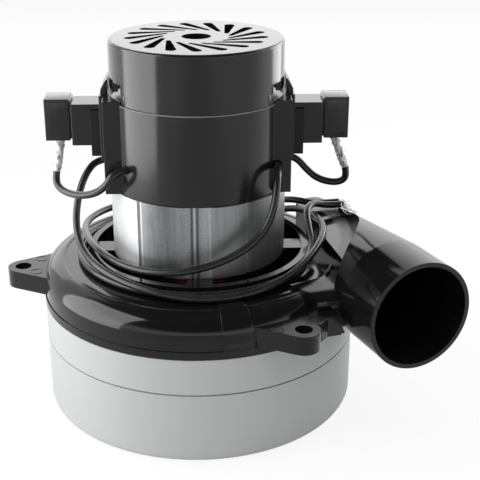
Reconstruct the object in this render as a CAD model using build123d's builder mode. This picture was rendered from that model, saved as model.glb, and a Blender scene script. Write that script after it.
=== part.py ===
from build123d import *
import os
from math import cos, pi, radians, sin, sqrt, tan

# Vacuum motor unit: a brushed two stage blower motor with a tangential outlet horn.
# Lengths are millimetres. The origin is on the motor axis at the underside of the
# fan shell, +Z runs up the shaft, and the two brushes lie along X.

# Fan shell
shell_r = 72.4
sheet = 1.2
corner_r = 3.5
seam_z = 33.35
seam_gap = 0.6
eye_r = 22.0
eye_collar = 6.0
bracket_z = 50.3

# Shared clearances
slip_gap = 0.15
ball_gap = 0.04
shaft_gap = 0.03
overrun = 4.0

# Fans and the stationary fan between them
rim_gap = 5.2
fan_sheet = 0.9
fan_eye_r = 24.4
fan_gap = 1.6
fan_hub_r = 9.0
fan_hub_h = 7.0
fan_blades = 7
blade_sweep = 38.0
blade_share = 0.4
guide_plate = 1.2
guide_vane_h = 6.8
guide_inset = 3.0
guide_vanes = 10
guide_bore_gap = 0.6

# Shaft and the pieces clamped on it
shaft_low_r = 4.0
shaft_core_r = 6.0
shaft_top_r = 4.0
shoulder_z = 53.4
neck_z = 144.0
shaft_top_z = 164.0
nut_across = 13.0
nut_h = 6.0
washer_r = 8.5
washer_h = 1.6

# Fan end bracket
lip_proud = 0.2
lip_h = 3.6
wall = 2.5
ring_inset = 0.2
plateau_z = 69.0
shoulder_share = 0.47
collar_gap = 8.4
collar_wall = 3.0
collar_top_z = 73.5
spigot_h = 3.8
spigot_wall = 1.8
throat_inset = 3.5
box_top_z = 78.0
box_proud = 4.3
box_tip = -33.0
box_back = 38.0
# points set from the ring: how far they stand out from it, and their azimuth
box_inner = (-8.0, 40.9)
box_corner_r = 4.5
fairing_foot = ((1.9, -47.8), (7.9, -40.6), (-6.9, -32.4), (-14.1, -47.8))
fairing_top_z = 70.5
fairing_edge_r = 5.5
flange_foot = ((8.2, -55.1), (10.9, -52.6), (9.5, -49.0), (13.2, -42.4), (10.6, -37.2), (-6.4, -46.8))

# Mounting ears
ear_pcd_r = 82.5
ear_hole_r = 3.75
ear_tip_r = 7.0
ear_low_z = 54.5
ear_h = 8.5
ear_root_in = 1.7
# azimuth of the hole, then how far the root runs on either side, in degrees
ears = ((181.0, -12.5, 12.5), (301.0, -14.0, 8.0), (61.0, -12.5, 12.5))

# Outlet horn, along its own axis from the point nearest the motor axis
horn_azimuth = -68.5
horn_inset = 12.2
horn_z = 66.6
horn_r = 24.0
horn_wall = 2.0
horn_length = 96.6
horn_collar = 25.0
horn_joint = 67.0
horn_taper = 0.07
# room that an exhaust hose takes round the straight collar
hose_wall = 3.0

# Field stack and coils
stack_r = 39.6
stack_flat = 38.8
stack_low_z = 72.0
stack_h = 32.9
yoke_in_r = 32.6
pole_bore_r = 24.1
shoe_t = 4.0
shoe_half = 62.0
pole_half = 12.0
groove_w = 1.2
groove_d = 0.8
groove_places = (-26.0, -3.0, -0.6, 21.0)
coil_half = 57.0
coil_gap = 0.35
coil_end = 9.5
bolt_r = 1.9
bolt_gap = 0.25
bolt_circle = 35.9
bolt_head_r = 3.2
bolt_head_h = 2.6
post_half = 5.5
post_in_r = 33.8

# Armature
core_r = 23.5
core_slots = 12
slot_w = 2.6
slot_depth = 9.0
slot_fill = 0.2
end_turn_r = 20.5
end_turn_h = 4.0
comm_r = 12.0
comm_low_z = 121.0
comm_top_z = 141.2
comm_flange_r = 14.0
comm_flange_h = 2.0
comm_bars = 22
bar_cut_w = 0.5
bar_cut_d = 0.8

# Ball bearings: bore radius, outer radius, width, underside height
low_bearing = (6.0, 16.0, 10.0, 54.6)
top_bearing = (4.0, 11.0, 7.0, 146.0)
race_share = 0.33
balls = 8
retainer_r = 21.0
retainer_t = 1.2
retainer_screws = 3
screw_r = 1.5
screw_head_r = 2.7
screw_head_h = 1.8
screw_l = 7.0

# Brush housing
housing_r = 38.9
housing_wall = 2.4
housing_top_z = 144.7
wing_x = 40.5
wing_y = 21.0
wing_low_z = 105.2
wing_top_z = 146.5
plate_x = 42.5
plate_y = 11.0
plate_low_z = 117.0
latch_y = 9.0
latch_in_x = 38.8
latch_out_x = 41.8
latch_tip = 0.6
latch_shoulder_z = 148.8
latch_top_z = 153.0
deck_t = 2.5
deck_window_in = 17.0
deck_window_out = 32.0
deck_window_half = 30.0
lug_h = 5.0
lug_in_r = 31.5
lug_half = 5.0

# Top cap
cap_r = 38.45
cap_wall = 1.8
cap_top_z = 169.8
cap_edge_r = 1.2
notch_top_z = 149.2
hook_in_y = 14.4
hook_out_y = 21.0
hook_top_z = 153.3
notch_x = 27.0
notch_y = 23.3
vent_slots = 17
vent_in_r = 15.0
vent_out_r = 29.0
vent_lead = 31.0
vent_in_w = 2.0
vent_out_w = 4.6
vent_eye_r = 6.4
vent_turn = 239.0
cool_fan_r = 32.5
cool_fan_low_z = 155.5
cool_fan_h = 8.0
cool_blades = 9
cool_blade_t = 1.4

# Brush gear, measured outwards from the motor axis
brush_z = 133.15
brush_in_x = 12.35
brush_l = 22.0
brush_w = 6.4
brush_h = 11.0
brush_gap = 0.15
tube_wall = 0.6
tube_in_x = 15.5
tube_out_x = 54.0
holder_neck_x = 30.0
holder_in_x = 42.6
holder_out_x = 55.3
holder_y = 7.5
holder_low_z = 123.4
holder_top_z = 141.9
neck_y = 5.4
neck_h = 15.6
clip_in_x = 42.6
clip_out_x = 46.8
clip_y = 9.0
clip_low_z = 118.9
clip_top_z = 139.5
cap_in_x = 55.6
cap_out_x = 66.9
cap_y = 6.5
cap_low_z = 125.4
cap_high_z = 143.9
spring_r = 2.4
spring_wire = 0.5
spring_turns = 8
shunt_r = 0.6
tab_t = 0.8
tab_y = 3.0
tab_out_x = 62.5

# Leads
lead_r = 1.65
core_wire_r = 0.8
sleeve_r = 1.9
sleeve_bore = 1.0
sleeve_ease = 0.6
entry_gap = 0.3
arc_share = 0.45
strand_r = 0.16
strand_len = 17.0
strand_count = 9
strand_share = 0.6
strand_step = 0.8
strand_lift = 0.5
strand_elbow = 3.5
sleeve_x = 60.8
left_lead_route = (
    (-60.8, 0.0, 132.7),
    (-60.8, 0.0, 125.8),
    (-64.0, 0.0, 109.4),
    (-64.7, -1.0, 105.2),
    (-63.0, -3.8, 102.4),
    (-58.5, -8.3, 101.3),
    (-51.5, -15.5, 102.6),
    (-44.6, -22.8, 106.4),
    (-39.8, -27.6, 111.2),
    (-37.2, -28.2, 115.4),
    (-34.2, -25.96, 117.0),
    (-28.7, -21.79, 117.0),
)
right_lead_route = (
    (60.8, 0.0, 132.7),
    (60.8, 0.0, 125.8),
    (67.2, 0.0, 109.8),
    (68.2, 0.8, 105.4),
    (66.6, 1.8, 102.2),
    (62.0, 3.0, 101.0),
    (55.0, 4.4, 102.6),
    (49.8, 5.4, 107.2),
    (46.2, 6.0, 111.4),
    (42.6, 6.0, 113.0),
    (37.2, 6.0, 113.0),
)
front_supply_route = (
    (34.4, -17.5, 118.0),
    (34.4, -25.0, 117.6),
    (33.6, -32.0, 113.4),
    (32.4, -36.0, 104.0),
    (28.2, -39.2, 94.0),
    (18.6, -44.0, 86.6),
    (4.0, -47.5, 81.2),
    (-13.0, -47.0, 78.0),
    (-31.5, -38.0, 77.0),
    (-44.5, -20.0, 77.5),
    (-52.5, 2.0, 76.0),
    (-56.0, 27.0, 74.5),
    (-43.0, 50.0, 73.8),
    (-20.0, 60.0, 72.2),
    (3.0, 61.4, 71.4),
    (24.0, 54.8, 73.6),
    (38.5, 41.0, 78.6),
    (46.9, 32.0, 82.3),
    (57.5, 28.4, 80.9),
    (69.2, 31.4, 80.8),
)
front_strand_way = (0.35, -1.0, 0.12)
rear_supply_route = (
    (-37.2, 6.0, 113.0),
    (-46.0, 6.0, 113.0),
    (-51.6, 0.6, 107.0),
    (-54.6, -4.0, 98.5),
    (-56.0, -7.0, 88.5),
    (-54.8, -12.5, 80.8),
    (-50.5, -23.0, 77.4),
    (-42.0, -37.5, 75.6),
    (-26.5, -50.9, 73.8),
    (-5.0, -58.3, 71.2),
    (17.0, -56.0, 71.0),
    (36.0, -45.0, 73.0),
    (50.0, -27.5, 77.0),
    (58.5, -6.5, 80.4),
    (57.2, 12.0, 80.6),
    (49.3, 27.5, 79.6),
    (36.0, 42.6, 72.2),
    (13.5, 55.0, 70.95),
    (-13.0, 55.4, 70.95),
    (-36.0, 43.5, 70.95),
    (-52.0, 23.0, 70.95),
    (-56.6, -2.0, 70.95),
    (-48.0, -28.5, 70.95),
    (-27.5, -47.6, 70.95),
    (-3.0, -54.7, 70.95),
    (21.5, -50.5, 70.95),
    (42.5, -35.0, 71.6),
    (52.6, -14.0, 75.0),
    (51.2, 3.0, 80.6),
    (51.4, 12.5, 84.4),
    (55.6, 19.4, 85.0),
    (62.6, 22.4, 82.2),
    (70.6, 25.2, 81.8),
)
rear_strand_way = (0.0, -1.0, 0.06)

# Values that follow from the ones above
shell_in_r = shell_r - sheet
fan_r = shell_in_r - rim_gap
guide_disc_r = fan_r - guide_inset
throat_r = fan_r - throat_inset
lip_r = shell_r + lip_proud
ring_r = shell_r - ring_inset
collar_in_r = stack_r + collar_gap
collar_r = collar_in_r + collar_wall
shoulder_r = shoulder_share * (ring_r - collar_r)
box_r = ring_r + box_proud
ear_root_r = ring_r - ear_root_in
horn_offset = ring_r - horn_inset
guide_low_z = seam_z - guide_plate / 2 - guide_vane_h - guide_plate
guide_top_z = seam_z + guide_plate / 2
first_low_z = eye_collar + fan_gap
first_top_z = guide_low_z - fan_gap
second_low_z = guide_top_z + 2 * fan_gap
second_top_z = bracket_z - fan_gap
stack_top_z = stack_low_z + stack_h
floor_top_z = bracket_z + wall
deck_low_z = housing_top_z - deck_t
horn_collar_t = horn_length - horn_collar


def disc(radius, low, high, mode=Mode.ADD):
    """Upright cylinder on the motor axis."""
    with BuildSketch(Plane.XY.offset(low)) as face:
        Circle(radius)
    extrude(face.sketch, amount=high - low, mode=mode)


def tube(outer, inner, low, high, mode=Mode.ADD):
    """Upright ring on the motor axis."""
    with BuildSketch(Plane.XY.offset(low)) as face:
        Circle(outer)
        Circle(inner, mode=Mode.SUBTRACT)
    extrude(face.sketch, amount=high - low, mode=mode)


def block(low, high, mode=Mode.ADD):
    """Box between two opposite corners."""
    size = [b - a for a, b in zip(low, high)]
    middle = [(a + b) / 2 for a, b in zip(low, high)]
    with Locations(tuple(middle)):
        Box(*size, mode=mode)


def side_block(side, near, far, half_y, low, high, mode=Mode.ADD):
    """Box at one brush, from near to far along X, centred on the brush axis in Y."""
    first, last = sorted((side * near, side * far))
    block((first, -half_y, low), (last, half_y, high), mode)


def side_rod(side, near, far, y, z, radius, mode=Mode.ADD):
    """Rod along X at one brush."""
    plane = Plane(origin=(side * near, y, z), x_dir=(0, 1, 0), z_dir=(side, 0, 0))
    with BuildSketch(plane) as face:
        Circle(radius)
    extrude(face.sketch, amount=far - near, mode=mode)


def polar(radius, azimuth):
    """Point in plan at a radius and an azimuth in degrees."""
    return (radius * cos(radians(azimuth)), radius * sin(radians(azimuth)))


def from_ring(place):
    """Point that stands out from the bracket's ring by a distance, at an azimuth."""
    proud, azimuth = place
    return polar(ring_r + proud, azimuth)


def sector(outer, inner, start, end, low, high, mode=Mode.ADD):
    """Upright piece of a ring between two azimuths."""
    middle = (start + end) / 2
    with BuildSketch(Plane.XY.offset(low)) as face:
        with BuildLine():
            near = polar(inner, start)
            far = polar(inner, end)
            ThreePointArc(polar(outer, start), polar(outer, middle), polar(outer, end))
            Line(polar(outer, end), far)
            ThreePointArc(far, polar(inner, middle), near)
            Line(near, polar(outer, start))
        make_face()
    extrude(face.sketch, amount=high - low, mode=mode)


def swept_blades(count, inner, outer, sweep, thick, low, high):
    """Curved blades, each an arc that runs from the inner to the outer radius."""
    middle_r = (inner + outer) / 2
    with BuildLine() as spine:
        ThreePointArc(polar(inner, 0), polar(middle_r, sweep * blade_share), polar(outer, sweep))
    with BuildSketch(Plane.XY.offset(low)) as face:
        with PolarLocations(0, count):
            SlotArc(spine.edges()[0], thick)
    extrude(face.sketch, amount=high - low)


def stage_fan(low, high):
    """One rotating fan: open eye below, closed disc and hub above."""
    tube(fan_r, fan_eye_r, low, low + fan_sheet)
    swept_blades(fan_blades, fan_eye_r + fan_sheet, fan_r - fan_sheet, blade_sweep, fan_sheet, low, high)
    disc(fan_r, high - fan_sheet, high)
    disc(fan_hub_r, high - fan_hub_h, high)
    disc(shaft_low_r + shaft_gap, low, high + overrun, Mode.SUBTRACT)


def horn_plane(along):
    """Plane square to the horn at a distance along it; its Y axis is up."""
    heading = (cos(radians(horn_azimuth)), sin(radians(horn_azimuth)), 0)
    across = (-heading[1], heading[0], 0)
    start = (across[0] * horn_offset, across[1] * horn_offset, horn_z)
    origin = [a + along * b for a, b in zip(start, heading)]
    return Plane(origin=tuple(origin), x_dir=across, z_dir=heading)


def horn_radius(along):
    """Outer radius of the horn at a distance along its axis."""
    return horn_r - horn_taper * max(0, horn_collar_t - along)


def horn_cone(start, end, thinner):
    """Stretch of the horn's outside, or of its bore when it is made thinner."""
    with BuildSketch(horn_plane(start)) as near:
        Circle(horn_radius(start) - thinner)
    with BuildSketch(horn_plane(end)) as far:
        Circle(horn_radius(end) - thinner)
    return near.sketch, far.sketch


def box_plan(level, inset):
    """Plan of the outlet box: a straight inner wall and an outer arc about the motor axis."""
    tip = polar(box_r, box_tip)
    back = polar(box_r, box_back)
    corner = from_ring(box_inner)
    with BuildSketch(Plane.XY.offset(level)) as plan:
        with BuildLine():
            ThreePointArc(tip, polar(box_r, (box_tip + box_back) / 2), back)
            Line(back, corner)
            Line(corner, tip)
        make_face()
        fillet(plan.vertices().sort_by(Axis.Y)[-2:], box_corner_r)
        if inset:
            offset(amount=-inset, mode=Mode.REPLACE)
    return plan.sketch


def keep(piece, name):
    """Label a finished piece and write it."""
    piece.part.label = name
    export_step(piece.part, f"parts/{name}.step")


def corner_radii(points):
    """Largest arc that each corner of a route allows."""
    spots = [Vector(*p) for p in points]
    runs = [b - a for a, b in zip(spots, spots[1:])]
    radii = []
    for first, second in zip(runs, runs[1:]):
        half_turn = radians(first.get_angle(second)) / 2
        radii.append(arc_share * min(first.length, second.length) / tan(half_turn))
    return radii


def lead_along(points, radius):
    """Round lead along a route of straight runs joined by tangent arcs."""
    with BuildLine() as route:
        FilletPolyline(*points, radius=corner_radii(points))
    start = Vector(*points[0])
    with BuildSketch(Plane(origin=start, z_dir=Vector(*points[1]) - start)) as face:
        Circle(radius)
    sweep(face.sketch, path=route.line)
    return route.wire().length


def radial_entry(route):
    """Hole through the housing wall along the last run of a lead."""
    last = Vector(*route[-1])
    before = Vector(*route[-2])
    with BuildSketch(Plane(origin=before, z_dir=last - before)) as face:
        Circle(lead_r + entry_gap)
    extrude(face.sketch, amount=2 * (last - before).length, mode=Mode.SUBTRACT)


os.makedirs("parts", exist_ok=True)

# Lower fan shell: a drawn cup with the inlet eye turned up in its floor
lower_top_z = seam_z - seam_gap / 2
with BuildPart() as hollow:
    disc(shell_in_r, sheet, lower_top_z + overrun)
    fillet(hollow.edges().group_by(Axis.Z)[0], corner_r - sheet)

with BuildPart() as lower_shell:
    disc(shell_r, 0, lower_top_z)
    fillet(lower_shell.edges().group_by(Axis.Z)[0], corner_r)
    add(hollow.part, mode=Mode.SUBTRACT)
    disc(eye_r + sheet, 0, eye_collar)
    disc(eye_r, -overrun, eye_collar + overrun, Mode.SUBTRACT)
keep(lower_shell, "lower_shell")

# Upper fan shell: a plain ring up to the bracket
upper_low_z = seam_z + seam_gap / 2
with BuildPart() as upper_shell:
    tube(shell_r, shell_in_r, upper_low_z, bracket_z)
keep(upper_shell, "upper_shell")

# Stationary fan: turns the first stage's air back in to the second stage's eye
guide_rim_r = shell_r - seam_gap
guide_rim_t = seam_gap - slip_gap
with BuildPart() as stationary_fan:
    tube(guide_disc_r, fan_hub_r + guide_bore_gap, guide_low_z, guide_low_z + guide_plate)
    tube(shell_in_r - slip_gap, eye_r, guide_top_z - guide_plate, guide_top_z)
    tube(eye_r + guide_plate, eye_r, guide_top_z, guide_top_z + fan_gap)
    disc(guide_rim_r, seam_z - guide_rim_t / 2, seam_z + guide_rim_t / 2)
    disc(eye_r, seam_z - guide_plate, seam_z + guide_plate, Mode.SUBTRACT)
    swept_blades(
        guide_vanes,
        eye_r + guide_plate,
        guide_disc_r,
        blade_sweep,
        guide_plate,
        guide_low_z,
        guide_top_z,
    )
keep(stationary_fan, "stationary_fan")

# Two rotating fans on the lower end of the shaft
with BuildPart() as first_stage_fan:
    stage_fan(first_low_z, first_top_z)
keep(first_stage_fan, "first_stage_fan")

with BuildPart() as second_stage_fan:
    stage_fan(second_low_z, second_top_z)
keep(second_stage_fan, "second_stage_fan")

# Spacers between the fans and up to the bearing shoulder
with BuildPart() as fan_spacer:
    tube(fan_hub_r, shaft_low_r + shaft_gap, first_top_z, second_top_z - fan_hub_h)
keep(fan_spacer, "fan_spacer")

with BuildPart() as bearing_spacer:
    tube(fan_hub_r, shaft_low_r + shaft_gap, second_top_z, shoulder_z)
keep(bearing_spacer, "bearing_spacer")

# Washer and nut under the first fan's hub
washer_top_z = first_top_z - fan_hub_h
washer_low_z = washer_top_z - washer_h
with BuildPart() as fan_washer:
    tube(washer_r, shaft_low_r + shaft_gap, washer_low_z, washer_top_z)
keep(fan_washer, "fan_washer")

with BuildPart() as fan_nut:
    with BuildSketch(Plane.XY.offset(washer_low_z - nut_h)):
        RegularPolygon(nut_across / 2, 6, major_radius=False)
        Circle(shaft_low_r + shaft_gap, mode=Mode.SUBTRACT)
    extrude(amount=nut_h)
    chamfer(fan_nut.edges().filter_by(GeomType.LINE).group_by(Axis.Z)[0], fan_sheet)
keep(fan_nut, "fan_nut")

# Shaft: thin at the fans, thick through core and commutator, thin above
shaft_end_z = washer_low_z - nut_h - washer_h
with BuildPart() as shaft:
    disc(shaft_low_r, shaft_end_z, shoulder_z)
    disc(shaft_core_r - shaft_gap, shoulder_z, neck_z)
    disc(shaft_top_r - shaft_gap, neck_z, shaft_top_z)
    chamfer(shaft.edges().group_by(Axis.Z)[0], washer_h / 2)
keep(shaft, "shaft")

# Fan end bracket: lip, torus, collar around the stack, bearing seat and outlet box
bearing_bore, bearing_r, bearing_w, bearing_z = low_bearing
seat_r = bearing_r + wall
seat_top_z = bearing_z + bearing_w
collar_floor_z = bracket_z + wall
near_face, far_face = horn_cone(box_corner_r, horn_joint, horn_wall)
with BuildPart() as horn_bore:
    loft([near_face, far_face])
    disc(box_r, plateau_z - wall, horn_z + horn_r + overrun, Mode.SUBTRACT)
    disc(box_r + wall, horn_z - horn_r - overrun, floor_top_z, Mode.SUBTRACT)

# way from the box into the horn
with BuildPart() as box_mouth:
    loft([near_face, far_face])
    doorway = box_plan(floor_top_z, wall).moved(Location(horn_plane(0).x_dir * 2 * wall))
    extrude(doorway, amount=box_top_z - wall - floor_top_z, mode=Mode.INTERSECT)

# block beside the horn, with a rounded shoulder
with BuildPart() as fairing:
    with BuildSketch(Plane.XY.offset(bracket_z)) as foot:
        with BuildLine():
            Polyline(*map(from_ring, fairing_foot), close=True)
        make_face()
    extrude(foot.sketch, amount=fairing_top_z - bracket_z)
    fillet(fairing.edges().group_by(Axis.Z)[-1].sort_by(Axis.Y)[0], fairing_edge_r)

with BuildPart() as fan_end_bracket:
    near_face, far_face = horn_cone(0, horn_joint, 0)
    loft([near_face, far_face])
    disc(box_r - wall, plateau_z, horn_z + horn_r + overrun, Mode.SUBTRACT)
    disc(lip_r, horn_z - horn_r - overrun, bracket_z, Mode.SUBTRACT)
    # the torus that gathers the second stage's air
    with BuildSketch(Plane.XZ) as torus:
        with BuildLine():
            Polyline(
                (collar_in_r, bracket_z),
                (ring_r, bracket_z),
                (ring_r, plateau_z),
                (collar_in_r, plateau_z),
                close=True,
            )
        make_face()
        fillet(torus.vertices().group_by(Axis.X)[-1].sort_by(Axis.Z)[-1], shoulder_r)
    revolve(torus.sketch, axis=Axis.Z)
    tube(collar_r, collar_in_r, plateau_z - wall, collar_top_z)
    tube(lip_r, ring_r - wall, bracket_z, bracket_z + lip_h)
    disc(collar_r, bracket_z, collar_floor_z)
    spigot_r = shell_in_r - slip_gap
    tube(spigot_r, spigot_r - spigot_wall, bracket_z - spigot_h, bracket_z)
    # outlet box, the block beside the horn and the flange below it
    extrude(box_plan(bracket_z, 0), amount=box_top_z - bracket_z)
    add(fairing.part)
    with BuildSketch(Plane.XY.offset(ear_low_z)) as flange:
        with BuildLine():
            Polyline(*map(from_ring, flange_foot), close=True)
        make_face()
    extrude(flange.sketch, amount=ear_h)
    near_face, far_face = horn_cone(horn_joint, horn_length, -entry_gap)
    loft([near_face, far_face], mode=Mode.SUBTRACT)
    with BuildSketch(horn_plane(horn_collar_t - entry_gap)) as hose:
        Circle(horn_r + hose_wall)
    extrude(hose.sketch, amount=horn_collar, mode=Mode.SUBTRACT)
    # ears
    for azimuth, root_low, root_high in ears:
        with BuildSketch(Plane.XY.offset(ear_low_z)) as ear:
            with BuildLine():
                tip = polar(ear_pcd_r, azimuth)
                CenterArc(tip, ear_tip_r, 0, 360)
                Line(polar(ear_root_r, azimuth + root_low), polar(ear_root_r, azimuth + root_high))
            make_hull()
        extrude(ear.sketch, amount=ear_h)
    # air passages
    with BuildSketch(Plane.XZ) as channel:
        with BuildLine():
            Polyline(
                (collar_r + wall, floor_top_z),
                (ring_r - wall, floor_top_z),
                (ring_r - wall, plateau_z - wall),
                (collar_r + wall, plateau_z - wall),
                close=True,
            )
        make_face()
        fillet(channel.vertices().group_by(Axis.X)[-1].sort_by(Axis.Z)[-1], shoulder_r - wall)
    revolve(channel.sketch, axis=Axis.Z, mode=Mode.SUBTRACT)
    extrude(box_plan(floor_top_z, wall), amount=box_top_z - wall - floor_top_z, mode=Mode.SUBTRACT)
    add(horn_bore.part, mode=Mode.SUBTRACT)
    add(box_mouth.part, mode=Mode.SUBTRACT)
    tube(spigot_r - spigot_wall, throat_r, bracket_z - overrun, floor_top_z, Mode.SUBTRACT)
    # ear holes
    with Locations(Plane.XY.offset(ear_low_z)):
        with Locations([polar(ear_pcd_r, azimuth) for azimuth, *_ in ears]):
            Cylinder(ear_hole_r, 2 * ear_h + overrun, mode=Mode.SUBTRACT)
    # bearing seat and the four posts under the stack
    disc(collar_in_r, collar_floor_z, collar_top_z + overrun, Mode.SUBTRACT)
    disc(seat_r, collar_floor_z, seat_top_z)
    disc(bearing_r + shaft_gap, bearing_z, seat_top_z + overrun, Mode.SUBTRACT)
    disc(fan_hub_r + guide_bore_gap, bracket_z - overrun, bearing_z + overrun, Mode.SUBTRACT)
    for azimuth in (0, 90, 180, 270):
        with Locations(Plane.XY.rotated((0, 0, azimuth))):
            with Locations(((post_in_r + collar_r) / 2, 0, (bracket_z + stack_low_z) / 2)):
                Box(collar_r - post_in_r, 2 * post_half, stack_low_z - bracket_z)
    with Locations(Plane.XY.offset(stack_low_z)):
        with Locations((bolt_circle, 0), (-bolt_circle, 0)):
            Cylinder(bolt_r + bolt_gap, 2 * (stack_low_z - floor_top_z), mode=Mode.SUBTRACT)
    # tapped holes for the retainer's screws
    with Locations(Plane.XY.offset(seat_top_z)):
        with PolarLocations((bearing_r + seat_r) / 2 + wall, retainer_screws):
            Cylinder(screw_r + shaft_gap, 2 * screw_l, mode=Mode.SUBTRACT)
keep(fan_end_bracket, "fan_end_bracket")

# Outlet horn
with BuildPart() as discharge_horn:
    near_face, far_face = horn_cone(horn_joint, horn_collar_t, 0)
    loft([near_face, far_face])
    with BuildSketch(horn_plane(horn_collar_t)) as mouth:
        Circle(horn_r)
    extrude(mouth.sketch, amount=horn_collar)
    near_face, far_face = horn_cone(horn_joint, horn_collar_t, horn_wall)
    loft([near_face, far_face], mode=Mode.SUBTRACT)
    with BuildSketch(horn_plane(horn_collar_t)) as bore:
        Circle(horn_r - horn_wall)
    extrude(bore.sketch, amount=horn_collar, mode=Mode.SUBTRACT)
keep(discharge_horn, "discharge_horn")

# Field stack: laminated yoke with a front and a rear pole
with BuildPart() as field_stack:
    with BuildSketch(Plane.XY.offset(stack_low_z)) as lamination:
        Circle(stack_r)
        Rectangle(2 * stack_r, 2 * stack_flat, mode=Mode.INTERSECT)
        Circle(yoke_in_r, mode=Mode.SUBTRACT)
        for place in groove_places:
            with Locations((place, -min(stack_flat, sqrt(stack_r**2 - place**2)))):
                Rectangle(groove_w, 2 * groove_d, mode=Mode.SUBTRACT)
        with Locations((bolt_circle, 0), (-bolt_circle, 0)):
            Circle(bolt_r + bolt_gap, mode=Mode.SUBTRACT)
    extrude(amount=stack_h)
    for facing in (-90, 90):
        sector(
            pole_bore_r + shoe_t,
            pole_bore_r,
            facing - shoe_half,
            facing + shoe_half,
            stack_low_z,
            stack_top_z,
        )
        with BuildSketch(Plane.XY.offset(stack_low_z).rotated((0, 0, facing))) as pole:
            with Locations(((pole_bore_r + yoke_in_r + shoe_t) / 2, 0)):
                Rectangle(yoke_in_r - pole_bore_r, 2 * pole_half)
            Circle(pole_bore_r + shoe_t / 2, mode=Mode.SUBTRACT)
        extrude(pole.sketch, amount=stack_h)
keep(field_stack, "field_stack")

# Field coils: one around each pole, their ends standing out above and below the stack
coil_in_r = pole_bore_r + shoe_t + coil_gap
coil_out_r = yoke_in_r - coil_gap
coil_window = 2 * (pole_half + coil_gap)
for facing, name in ((-90, "front_field_coil"), (90, "rear_field_coil")):
    with BuildPart() as field_coil:
        sector(
            coil_out_r,
            coil_in_r,
            facing - coil_half,
            facing + coil_half,
            stack_low_z - coil_end,
            stack_top_z + coil_end,
        )
        with Locations(Plane.XY.offset((stack_low_z + stack_top_z) / 2).rotated((0, 0, facing))):
            with Locations((coil_out_r, 0, 0)):
                Box(coil_out_r, coil_window, stack_h + 2 * coil_gap, mode=Mode.SUBTRACT)
        fillet(field_coil.edges().filter_by(Axis.Z), coil_gap)
    keep(field_coil, name)

# Bearings: outer race, inner race and balls between them
for bearing, name in ((low_bearing, "lower"), (top_bearing, "upper")):
    bore, outer, width, low_z = bearing
    race_t = race_share * (outer - bore)
    ball_r = (outer - bore) / 2 - race_t - ball_gap
    with BuildPart() as outer_race:
        tube(outer, outer - race_t, low_z, low_z + width)
    keep(outer_race, f"{name}_bearing_outer")
    with BuildPart() as inner_race:
        tube(bore + race_t, bore, low_z, low_z + width)
    keep(inner_race, f"{name}_bearing_inner")
    with BuildPart() as ball_set:
        with Locations((0, 0, low_z + width / 2)):
            with PolarLocations((bore + outer) / 2, balls):
                Sphere(ball_r)
    keep(ball_set, f"{name}_bearing_balls")

# Retainer plate and screws over the lower bearing
screw_circle = (bearing_r + seat_r) / 2 + wall
with BuildPart() as bearing_retainer:
    tube(retainer_r, bearing_r - race_share * (bearing_r - bearing_bore), seat_top_z, seat_top_z + retainer_t)
    with Locations(Plane.XY.offset(seat_top_z)):
        with PolarLocations(screw_circle, retainer_screws):
            Cylinder(screw_r + shaft_gap, 2 * retainer_t + overrun, mode=Mode.SUBTRACT)
keep(bearing_retainer, "bearing_retainer")

screw_seat_z = seat_top_z + retainer_t
with BuildPart() as retainer_screw_set:
    with PolarLocations(screw_circle, retainer_screws):
        with Locations((0, 0, screw_seat_z - screw_l)):
            Cylinder(screw_r, screw_l, align=(Align.CENTER, Align.CENTER, Align.MIN))
        with Locations((0, 0, screw_seat_z)):
            Cylinder(screw_head_r, screw_head_h, align=(Align.CENTER, Align.CENTER, Align.MIN))
keep(retainer_screw_set, "retainer_screws")

# Armature core, its winding, and the commutator
with BuildPart() as armature_core:
    with BuildSketch(Plane.XY.offset(stack_low_z)):
        Circle(core_r)
        Circle(shaft_core_r, mode=Mode.SUBTRACT)
        with PolarLocations(core_r - slot_depth / 2, core_slots):
            Rectangle(slot_depth + slot_w, slot_w, mode=Mode.SUBTRACT)
    extrude(amount=stack_h)
keep(armature_core, "armature_core")

with BuildPart() as armature_winding:
    winding_in_r = shaft_core_r + slot_fill
    tube(end_turn_r, winding_in_r, stack_low_z - end_turn_h, stack_low_z - slot_fill)
    tube(end_turn_r, winding_in_r, stack_top_z + slot_fill, stack_top_z + end_turn_h)
    rims = armature_winding.edges().filter_by(GeomType.CIRCLE).group_by(SortBy.RADIUS)[-1]
    fillet(rims, end_turn_h / 3)
    with BuildSketch(Plane.XY.offset(stack_low_z - slot_fill)) as bars:
        with PolarLocations(end_turn_r - slot_w, core_slots):
            Rectangle(2 * slot_w, slot_w - 2 * slot_fill)
    extrude(bars.sketch, amount=stack_h + 2 * slot_fill)
keep(armature_winding, "armature_winding")

with BuildPart() as commutator:
    tube(comm_r, shaft_core_r, comm_low_z, comm_top_z)
    tube(comm_flange_r, shaft_core_r, comm_low_z, comm_low_z + comm_flange_h)
    with BuildSketch(Plane.XY.offset(comm_low_z + comm_flange_h)) as cuts:
        with PolarLocations(comm_r, comm_bars):
            Rectangle(2 * bar_cut_d, bar_cut_w)
    extrude(cuts.sketch, amount=comm_top_z - comm_low_z, mode=Mode.SUBTRACT)
keep(commutator, "commutator")

# Sleeve between the core and the commutator
with BuildPart() as insulating_sleeve:
    tube(shaft_core_r + wall, shaft_core_r, stack_top_z + end_turn_h, comm_low_z)
keep(insulating_sleeve, "insulating_sleeve")

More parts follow.
